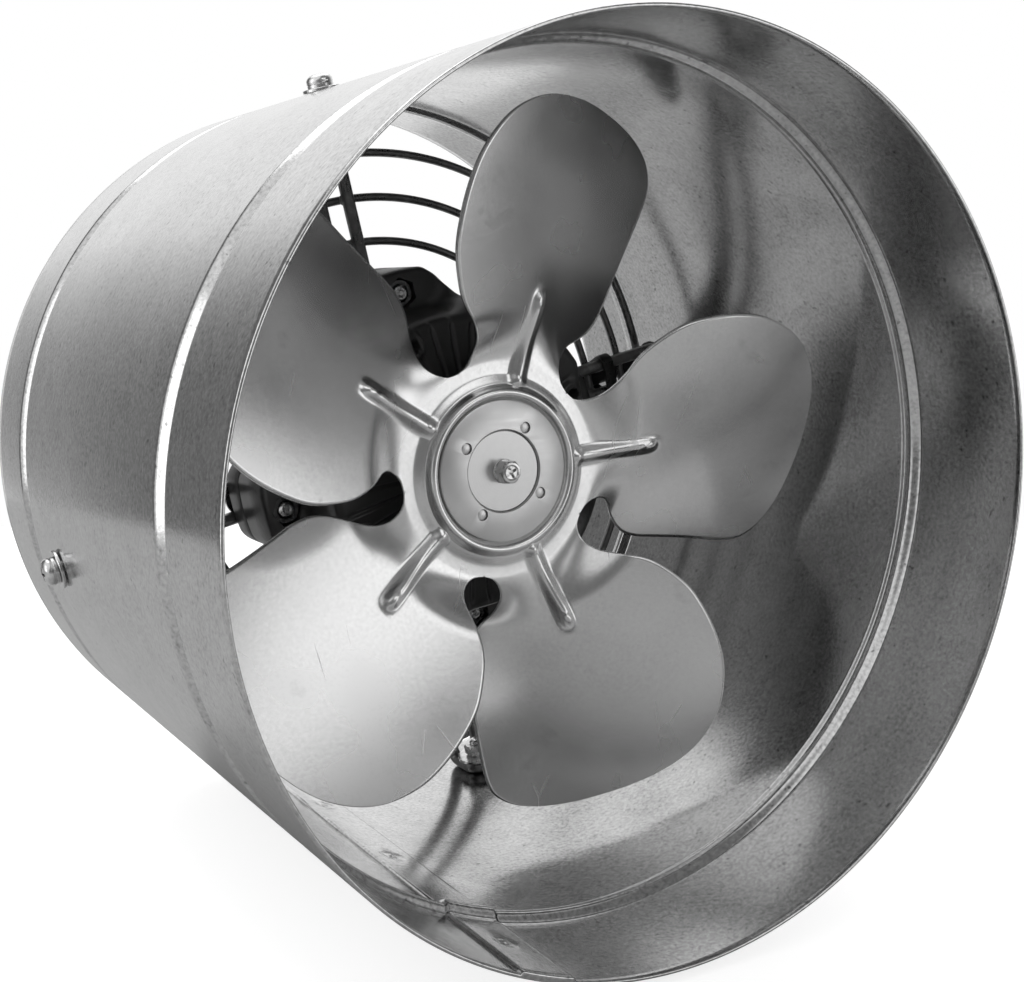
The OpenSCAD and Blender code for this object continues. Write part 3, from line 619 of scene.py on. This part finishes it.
motor_paint, tree, shader = new_material("motor_paint")
place = add(tree, "TexCoord").outputs["Object"]
dust = noise(tree, place, 45.0, 4.0)
skin = noise(tree, place, 650.0, 3.0)
tree.links.new(grey_ramp(tree, dust, [(0.3, grey(0.045)), (0.6, grey(0.062)), (0.75, grey(0.09))]), shader.inputs["Base Color"])
tree.links.new(spread(tree, dust, 0.30, 0.46), shader.inputs["Roughness"])
shader.inputs["Specular IOR Level"].default_value = 0.8
bump = add(tree, "Bump", Strength=0.6, Distance=0.00012, Height=skin)
tree.links.new(bump.outputs[0], shader.inputs["Normal"])
front_shell = build("front_casting", [front_casting()], motor_paint, "housing", "motor_black", ["motor_front_shell"], sharp=50)
pockets = []
for k in range(4):
    outward, round_about = quarter(k)
    corner_r = pocket_flats / 2 / math.cos(math.pi / 6)
    pocket = [(lobe_front - 4, 0), (lobe_front - 4, corner_r), (lobe_front + pocket_deep, corner_r), (lobe_front + pocket_deep, 0)]
    pockets.append(turned(pocket, motor_bolt_r * outward, duct_axis, outward, sides=6))
cut(front_shell, pockets, 50)
build("rear_casting", [rear_casting()], motor_paint, "housing", "motor_black", ["motor_rear_shell"], sharp=50)

through_bolts, through_nuts, spoke_washers = [], [], []
bolt_head = spoke_y + rod_r + 1.0
for k in range(4):
    outward, round_about = quarter(k)
    at = motor_bolt_r * outward
    shank = [(110.5, 0), (110.55, 0.6), (110.9, 0.9), (110.6, 1.25), (110.6, 1.6), (110.9, 1.9)] + thread_rows(111.0, 115.0, 2.05)
    head = [(115.1, 1.95), (bolt_head, 1.95), (bolt_head, 3.9), (bolt_head + 0.2, 4.05), (bolt_head + 2.3, 4.05), (bolt_head + 2.8, 3.4),
            (bolt_head + 2.8, 0)]
    through_bolts.append(turned(shank, at, duct_axis, outward, sides=48, thread=0.7))
    through_bolts.append(turned([(115.0, 0), (115.0, 1.95)] + head, at, duct_axis, outward, hexagon(nut_flats), 72))
    through_nuts.append(turned(nut(lobe_front + 1.4, 3.2, nut_flats, 2.1), at, duct_axis, outward, hexagon(nut_flats), 72, ring=True))
    spoke_washers.append(turned(washer(spoke_y + rod_r + 0.05, 0.9, 2.25, 5.8), at, duct_axis, outward, ring=True))
build("long_screws", through_bolts, zinc, "housing", "zinc", ["through_bolts"], sharp=35)
black_steel, tree, shader = new_material("blackened_steel")
place = add(tree, "TexCoord").outputs["Object"]
oil = noise(tree, place, 320.0, 3.0)
tree.links.new(grey_ramp(tree, oil, [(0.3, grey(0.10)), (0.6, grey(0.17)), (0.75, grey(0.34))]), shader.inputs["Base Color"])
tree.links.new(spread(tree, oil, 0.22, 0.36), shader.inputs["Roughness"])
shader.inputs["Metallic"].default_value = 1.0
bump = add(tree, "Bump", Strength=0.5, Distance=0.00003, Height=noise(tree, place, 1500.0, 2.0))
tree.links.new(bump.outputs[0], shader.inputs["Normal"])
build("pocket_nuts", through_nuts, black_steel, "housing", "zinc_dull", ["through_nuts"], sharp=25)
build("spoke_washers", spoke_washers, zinc, "housing", "zinc", ["motor_washers"])


# ---------------------------------------------------------------- Motor lead
# A round black sheathed lead leaves the motor's side through a rubber gland, lies behind the right spoke in a
# black nylon tie and goes out through a rubber grommet in the tube's wall.
lead_r = 2.9
lead_points = [(33, 147.6), (40, 147.7), (50, 147.7), (57, 146.9), (64, 146.2), (80, 146.2), (101.6, 146.2)]
tie_at = 76.0
out_right, up_right = quarter(0)


def smooth_line(points, count):
    """count points evenly spaced along a Catmull-Rom curve through the given ones."""
    p = np.array(points, float)
    p = np.concatenate([2 * p[:1] - p[1:2], p, 2 * p[-1:] - p[-2:-1]])
    t = np.linspace(0, len(p) - 3, 40 * len(p))
    i = np.minimum(t.astype(int), len(p) - 4)
    f = (t - i)[:, None]
    a, b, c, d = p[i], p[i + 1], p[i + 2], p[i + 3]
    line = (2 * b + (c - a) * f + (2 * a - 5 * b + 4 * c - d) * f ** 2 + (3 * b - a - 3 * c + d) * f ** 3) / 2
    run = np.concatenate([[0], np.cumsum(np.linalg.norm(np.diff(line, axis=0), axis=1))])
    even = np.linspace(0, run[-1], count)
    return np.stack([np.interp(even, run, line[:, k]) for k in range(p.shape[1])], -1)


lead_line = smooth_line(lead_points, 60)
lead_path = lead_line[:, :1] * out_right + lead_line[:, 1:] * duct_axis
sheath, tree, shader = new_material("black_sheath")
place = add(tree, "TexCoord").outputs["Object"]
scuffs = noise(tree, place, 300.0, 3.0)
tree.links.new(grey_ramp(tree, scuffs, [(0.35, grey(0.014)), (0.7, grey(0.03))]), shader.inputs["Base Color"])
tree.links.new(spread(tree, scuffs, 0.30, 0.48), shader.inputs["Roughness"])
bump = add(tree, "Bump", Strength=0.5, Distance=0.00004, Height=noise(tree, place, 1100.0, 2.0))
tree.links.new(bump.outputs[0], shader.inputs["Normal"])
build("lead_sheath", [swept(lead_path, np.tile(up_right, (60, 1)), lead_r, 24, closed=False)], sheath, "housing", "lead_black", ["motor_lead"])


def rubber_bush(start, end, neck, flange):
    """A bush's section: a neck through the wall between two rounded flanges, about the lead."""
    bore = lead_r + 0.1
    return [(start - 1.2, bore), (start - 1.2, flange - 0.9), (start - 1.0, flange - 0.3), (start - 0.5, flange), (start, flange - 0.1),
            (start, neck), (end, neck), (end, flange - 0.1), (end + 0.5, flange), (end + 1.1, flange - 0.4), (end + 1.4, flange - 1.1), (end + 1.4, bore)]


rubber, tree, shader = new_material("black_rubber")
place = add(tree, "TexCoord").outputs["Object"]
bloom = noise(tree, place, 240.0, 3.0)
tree.links.new(grey_ramp(tree, bloom, [(0.3, grey(0.02)), (0.7, grey(0.045))]), shader.inputs["Base Color"])
tree.links.new(spread(tree, bloom, 0.50, 0.66), shader.inputs["Roughness"])
bump = add(tree, "Bump", Strength=0.5, Distance=0.00005, Height=noise(tree, place, 1600.0, 2.0))
tree.links.new(bump.outputs[0], shader.inputs["Normal"])
wall_bush = turned(rubber_bush(98.9, 100.15, 4.0, 5.0), 146.2 * duct_axis, out_right, duct_axis, ring=True)
motor_bush = turned(rubber_bush(35.4, 39.0, 4.1, 5.0), 147.6 * duct_axis, out_right, duct_axis, ring=True)
build("wall_bush", [wall_bush], rubber, "housing", "rubber_black", ["wall_grommet"])
build("motor_bush", [motor_bush], rubber, "housing", "rubber_black", ["lead_gland"])


def tie_band(grow_in, grow_out, half_width):
    """A band round the two rods and the lead. In each direction its distance is the furthest reach of the
    three round sections; the section across it is a thin strip with eased corners."""
    a = np.linspace(0, 2 * math.pi, 145)[:-1]
    toward = np.stack([np.cos(a), np.sin(a)], -1)
    middles = np.array([(-leg_gap, spoke_y), (leg_gap, spoke_y), (0, 146.2)])
    radii = np.array([rod_r, rod_r, lead_r])
    furthest = np.argmax(toward @ middles.T + radii, axis=1)
    strip = np.array([(grow_in, -1), (grow_in, 1), (grow_out - 0.2, 1), (grow_out, 0.85), (grow_out, -0.85), (grow_out - 0.2, -1)])
    reach = radii[furthest][:, None] + strip[None, :, 0]
    flat = middles[furthest][:, None] + toward[:, None] * reach[..., None]
    x = tie_at + half_width * strip[None, :, 1] + 0 * reach
    points = x[..., None] * out_right + flat[..., 0:1] * up_right + flat[..., 1:2] * duct_axis
    return points, grid_faces(144, 6, close_rows=True, close_cols=True)


def rounded_block(middle, directions, halves, power=5.0):
    """A box with soft corners: the sphere's cosines and sines are raised to 2/power, keeping their signs."""
    soft = lambda v: np.sign(v) * np.abs(v) ** (2 / power)
    up = np.linspace(0, math.pi, 29)[:, None]
    a = np.arange(56)[None, :] * 2 * math.pi / 56
    shape = np.stack([soft(np.sin(up)) * soft(np.cos(a)), soft(np.sin(up)) * soft(np.sin(a)), soft(np.cos(up)) + 0 * a], -1)
    return np.array(middle) + (shape * np.array(halves)) @ np.array(directions), grid_faces(29, 56, close_cols=True)


tie_frame = [out_right, duct_axis, up_right]
tie_head = rounded_block(tie_at * out_right + (spoke_y - 0.6) * duct_axis - (leg_gap + 3.6) * up_right, tie_frame, (2.5, 2.3, 1.9))
tie_tail = rounded_block(tie_at * out_right + (spoke_y - 4.4) * duct_axis - (leg_gap + 3.8) * up_right, tie_frame, (1.6, 2.0, 0.6))
nylon, tree, shader = new_material("black_nylon")
place = add(tree, "TexCoord").outputs["Object"]
moulding = noise(tree, place, 500.0, 2.0)
tree.links.new(grey_ramp(tree, moulding, [(0.3, grey(0.013)), (0.7, grey(0.028))]), shader.inputs["Base Color"])
tree.links.new(spread(tree, moulding, 0.24, 0.38), shader.inputs["Roughness"])
bump = add(tree, "Bump", Strength=0.4, Distance=0.00003, Height=moulding)
tree.links.new(bump.outputs[0], shader.inputs["Normal"])
build("tie_wrap", [tie_band(0.15, 1.3, 1.8), tie_head, tie_tail], nylon, "housing", "nylon_black", ["cable_tie"])


# ---------------------------------------------------------------- Hub
# A turned steel hub on the shaft shows through the plate's middle; the zinc-plated plate holds the impeller
# to it with four rivets, and a hexagon screw with a cross recess and a lock washer hold it on the shaft.
plate_front = 75.8
plate_r = 17.9
spigot_r = 10.3
rivet_at = 12.3
turned_steel, tree, shader = new_material("turned_steel")
place = add(tree, "TexCoord").outputs["Object"]
tool_marks = add(tree, "TexWave", {"wave_type": "RINGS", "rings_direction": "Y"}, Vector=place, Scale=420.0, Distortion=1.5, Detail=2.0).outputs["Fac"]
stain = noise(tree, place, 140.0, 3.0)
tree.links.new(grey_ramp(tree, stain, [(0.3, grey(0.58)), (0.7, grey(0.70))]), shader.inputs["Base Color"])
tree.links.new(spread(tree, stain, 0.30, 0.38), shader.inputs["Roughness"])
shader.inputs["Metallic"].default_value = 1.0
bump = add(tree, "Bump", Strength=0.18, Distance=0.00002, Height=tool_marks)
tree.links.new(bump.outputs[0], shader.inputs["Normal"])
hub_section = [(76.4, 1.65), (76.4, 10.0), (76.7, 10.3), (78.1, 10.3), (78.1, 16), (80.5, 16), (80.5, 8), (88, 8), (88, 3.01), (79.2, 3.01), (79.2, 1.65)]
build("turned_hub", [turned(hub_section, (0, 0, 0), duct_axis, (1, 0, 0), sides=128, ring=True)], turned_steel, "rotor", "hub_steel", ["drive_hub"])

brushed_zinc, tree, shader = new_material("brushed_zinc")
place = add(tree, "TexCoord").outputs["Object"]
lines = add(tree, "Mapping", Vector=place, Rotation=(0.0, 0.7, 0.0), Scale=(120.0, 120.0, 1500.0)).outputs["Vector"]
brushing = noise(tree, lines, 1.0, 3.0)
stain = noise(tree, place, 90.0, 3.0)
tree.links.new(grey_ramp(tree, stain, [(0.3, grey(0.60)), (0.7, grey(0.74))]), shader.inputs["Base Color"])
tree.links.new(spread(tree, brushing, 0.34, 0.42), shader.inputs["Roughness"])
shader.inputs["Metallic"].default_value = 1.0
bump = add(tree, "Bump", Strength=0.15, Distance=0.00002, Height=brushing)
tree.links.new(bump.outputs[0], shader.inputs["Normal"])
plate_section = [(75.8, 10.6), (75.8, plate_r - 0.4), (75.95, plate_r - 0.1), (76.3, plate_r), (76.9, plate_r), (76.9, 10.4), (76.1, 10.4)]
plate = build("hub_disc", [turned(plate_section, (0, 0, 0), duct_axis, (1, 0, 0), sides=160, ring=True)], brushed_zinc, "rotor", "zinc_plate", ["hub_plate"])
holes, rivets = [], []
for k in range(4):
    outward, round_about = quarter(k, 60.0)
    holes.append(turned([(75, 0), (75, 1.5), (78, 1.5), (78, 0)], rivet_at * outward, duct_axis, outward, sides=40))
    rivets.append(turned([(76.3, 0), (76.25, 1.1), (76.4, 1.4), (80.4, 1.4), (80.4, 2.3), (81.1, 2.2), (81.5, 1.4), (81.5, 0)],
                         rivet_at * outward, duct_axis, outward, sides=40))
cut(plate, holes)
build("rivet_pins", rivets, turned_steel, "rotor", "zinc_dull", ["hub_rivets"])

spring_ring = turned(washer(75.55, 0.8, 1.7, 3.1), (0, 0, 0), duct_axis, (1, 0, 0), ring=True)
build("screw_washer", [spring_ring], zinc, "rotor", "spring_steel", ["lock_washer"])
head_top = 72.0
screw_section = [(head_top + 0.35, 0), (head_top + 0.3, 1.6), (head_top, 2.0), (head_top + 0.1, 2.5), (head_top + 0.5, 2.85), (head_top + 1.0, 3.2),
                 (75.2, 3.2), (75.5, 2.9), (75.5, 1.5), (86, 1.5), (86.3, 1.2), (86.3, 0)]
screw = build("hub_screw", [turned(screw_section, (0, 0, 0), duct_axis, (1, 0, 0), hexagon(5.5), 96)], zinc, "rotor", "zinc", ["centre_screw"], sharp=30)
cut(screw, [cross_recess((0, head_top + 0.2, 0), duct_axis, quarter(0, 30.0)[0], 1.55, 0.38, 1.2)], 30)


# ---------------------------------------------------------------- Impeller
# Five blades pressed with their centre from one sheet of aluminium, 1 mm thick. Keyhole slots part the
# blades, a raised ring stiffens the centre and a rib runs out from it along each blade.
blade_count = 5
first_blade = 8.0
hub_face = 77.5
pitch = math.tan(math.radians(22.5))
rake = math.tan(math.radians(10.0))
camber = 0.0019
blade_sheet = 1.0
bore_r = 10.4
slot_bottom = 27.2
ring_r = 19.8
ring_half = 1.9
ring_rise = 2.0
rib_turn = -2.0
rib_end = 47.0
rib_half = 3.1
rib_rise = 2.2
leading_edge = [(22.0, 16.0), (23.9, 14.1), (26.4, 13.25), (29.3, 13.4), (31.8, 14.9), (34, 17.8), (38, 23), (43, 26.5), (50, 29.5),
                (58, 30.4), (66, 30), (73, 28.3), (80, 24.6), (85, 20), (89, 13.5), (91, 7), (91.8, 0)]
trailing_edge = [(22.0, -16.0), (23.9, -14.1), (26.4, -13.25), (29.3, -13.3), (31.8, -14.5), (34, -17), (36, -20.8), (38.6, -24.6),
                 (41.5, -27), (45.5, -28.7), (50, -29.8), (60, -32.3), (70, -35.2), (76, -36.4), (80, -36), (84, -33.2), (87, -28.4),
                 (89.2, -22), (90.6, -15), (91.5, -8)]


def blade_surface(s, c):
    """Depth of the pressed sheet at span s and chord c from a blade's mid-line: the pitched, raked and slightly
    hollow blade, eased into the flat centre, less the raised ring and rib."""
    r = np.hypot(s, c)
    free = 72.2 - c * pitch + camber * c * c - (s - 55) * rake
    depth = hub_face + smooth((r - slot_bottom) / 14.0) * (free - hub_face)
    depth = depth + 0.8 * smooth((r - 21.5) / 3.0) * smooth((40 - r) / 16.0)
    depth = depth - ring_rise * np.cos(np.clip((r - ring_r) / ring_half, -1, 1) * math.pi / 2) ** 2
    turn = math.radians(rib_turn)
    along = s * math.cos(turn) + c * math.sin(turn)
    across = c * math.cos(turn) - s * math.sin(turn)
    past = np.maximum(along - (rib_end - 3.0), 0)
    away = np.hypot(across, past) / (rib_half - 0.5 * smooth((along - 24) / 20))
    crest = np.clip(1.0 - np.sqrt(away ** 2 + 0.02) + 0.01, 0, 1)
    return depth - rib_rise * crest * crest * (1.7 - 0.7 * crest) * smooth((along - 20.5) / 3.0) * (0.8 + 0.25 * smooth((along - 22) / 20))


def blade_grid(middle):
    """One sector of the sheet about the angle middle: rows from the bore to the tip, each an arc between the
    trailing and the leading edge."""
    hub_r = np.linspace(bore_r, slot_bottom, 46)[:-1]
    lead = smooth_line(leading_edge, 74)
    trail = smooth_line(trailing_edge, 74)
    end_r = np.concatenate([[hub_r, hub_r], [np.hypot(*trail.T), np.hypot(*lead.T)]], axis=1)
    half = np.full(len(hub_r), math.radians(36))
    start = math.radians(36)
    end_a = np.concatenate([[-half, half], [np.arctan2(trail[:, 1], trail[:, 0]), np.arctan2(lead[:, 1], lead[:, 0])]], axis=1)
    end_r[:, len(hub_r)] = slot_bottom
    end_a[:, len(hub_r)] = (-start, start)
    u = np.linspace(0, 1, 71)[None, :]
    r = end_r[0][:, None] * (1 - u) + end_r[1][:, None] * u
    a = end_a[0][:, None] * (1 - u) + end_a[1][:, None] * u
    y = blade_surface(r * np.cos(a), r * np.sin(a))
    a = a + math.radians(middle)
    points = np.stack([r * np.cos(a), y, r * np.sin(a)], -1)
    return points, grid_faces(*r.shape)


pressed_alu, tree, shader = new_material("pressed_aluminium")
place = add(tree, "TexCoord").outputs["Object"]
patches = noise(tree, place, 30.0, 3.0)
fine = noise(tree, place, 1100.0, 3.0)
drawn = add(tree, "Mapping", Vector=place, Rotation=(0.0, 0.6, 0.0), Scale=(1.0, 0.0, 0.3)).outputs["Vector"]
to_line = add(tree, "TexVoronoi", {"feature": "DISTANCE_TO_EDGE"}, Vector=drawn, Scale=75.0).outputs["Distance"]
lines = maths(tree, "MULTIPLY", spread(tree, to_line, 1.0, 0.0, 0.002, 0.007), spread(tree, noise(tree, place, 42.0, 2.0), 0.0, 1.0, 0.60, 0.66))
smudges = spread(tree, noise(tree, place, 120.0, 2.0), 0.0, 0.12, 0.68, 0.74)
tone = maths(tree, "SUBTRACT", maths(tree, "MULTIPLY_ADD", fine, 0.3, maths(tree, "MULTIPLY", patches, 0.7)), smudges)
tree.links.new(grey_ramp(tree, tone, [(0.3, grey(0.60)), (0.45, grey(0.70)), (0.6, grey(0.77))]), shader.inputs["Base Color"])
shader.inputs["Metallic"].default_value = 1.0
tree.links.new(maths(tree, "MULTIPLY_ADD", lines, 0.12, spread(tree, patches, 0.22, 0.29)), shader.inputs["Roughness"])
fine_relief = add(tree, "Bump", Strength=0.2, Distance=0.00003, Height=fine)
scratch_relief = add(tree, "Bump", Strength=0.3, Distance=0.00004, Height=lines, Normal=fine_relief.outputs[0])
waves = add(tree, "Bump", Strength=0.5, Distance=0.0004, Height=noise(tree, place, 16.0, 1.0), Normal=scratch_relief.outputs[0])
tree.links.new(waves.outputs[0], shader.inputs["Normal"])
blades = [blade_grid(first_blade + k * 360 / blade_count) for k in range(blade_count)]
impeller = build("impeller_sheet", blades, pressed_alu, "rotor", "impeller_alu", ["impeller"], sharp=60, weld=0.02)
thicken = impeller.modifiers.new("sheet", "SOLIDIFY")
thicken.thickness = blade_sheet * mm
thicken.offset = 0.0


# ---------------------------------------------------------------- Remaining parts
# Made as the CAD has them, with their own finishes.
def plain_finish(name, tones, rough, metallic=0.0, patch=60.0, grain=1200.0, relief=0.00003):
    """Two tones over broad patches, gloss that varies with them, and fine grain in relief."""
    material, tree, shader = new_material(name)
    place = add(tree, "TexCoord").outputs["Object"]
    patches = noise(tree, place, patch, 3.0)
    tree.links.new(grey_ramp(tree, patches, [(0.3, tones[0]), (0.7, tones[1])]), shader.inputs["Base Color"])
    tree.links.new(spread(tree, patches, rough[0], rough[1]), shader.inputs["Roughness"])
    shader.inputs["Metallic"].default_value = metallic
    bump = add(tree, "Bump", Strength=0.5, Distance=relief, Height=noise(tree, place, grain, 2.0))
    tree.links.new(bump.outputs[0], shader.inputs["Normal"])
    return material


def keep(material, names, edge=0.2):
    """CAD nodes that stay: their finish, and a small bevel on their edges."""
    for name in names:
        shown = cad[name]
        shown.material_slots[0].material = material
        if edge:
            join = shown.modifiers.new("join", "WELD")
            join.merge_threshold = 0.000002
            ease = shown.modifiers.new("ease", "BEVEL")
            ease.width = edge * mm
            ease.segments = 2
            ease.limit_method = "ANGLE"
            ease.angle_limit = math.radians(35)


lamination = plain_finish("laminated_core", (grey(0.22), grey(0.32)), (0.35, 0.5), 1.0)
copper = plain_finish("enamelled_copper", ((0.42, 0.16, 0.06), (0.55, 0.22, 0.09)), (0.2, 0.3), 0.9)
former = plain_finish("natural_nylon", (grey(0.62), grey(0.70)), (0.4, 0.5), 0.0)
bronze = plain_finish("sintered_bronze", ((0.35, 0.23, 0.10), (0.45, 0.31, 0.14)), (0.35, 0.5), 1.0)
cage_alu = plain_finish("cast_aluminium", (grey(0.55), grey(0.66)), (0.35, 0.5), 1.0)
keep(nylon, ["shaft_spacers"], 0)
keep(turned_steel, ["shaft"], 0)
keep(lamination, ["stator_core", "rotor_core"], 0)
keep(copper, ["coil_right", "coil_top", "coil_left", "coil_bottom", "shading_rings"], 0)
keep(former, ["coil_formers", "thrust_washers"], 0)
keep(bronze, ["front_bush", "rear_bush"], 0)
keep(cage_alu, ["rotor_cage"], 0)
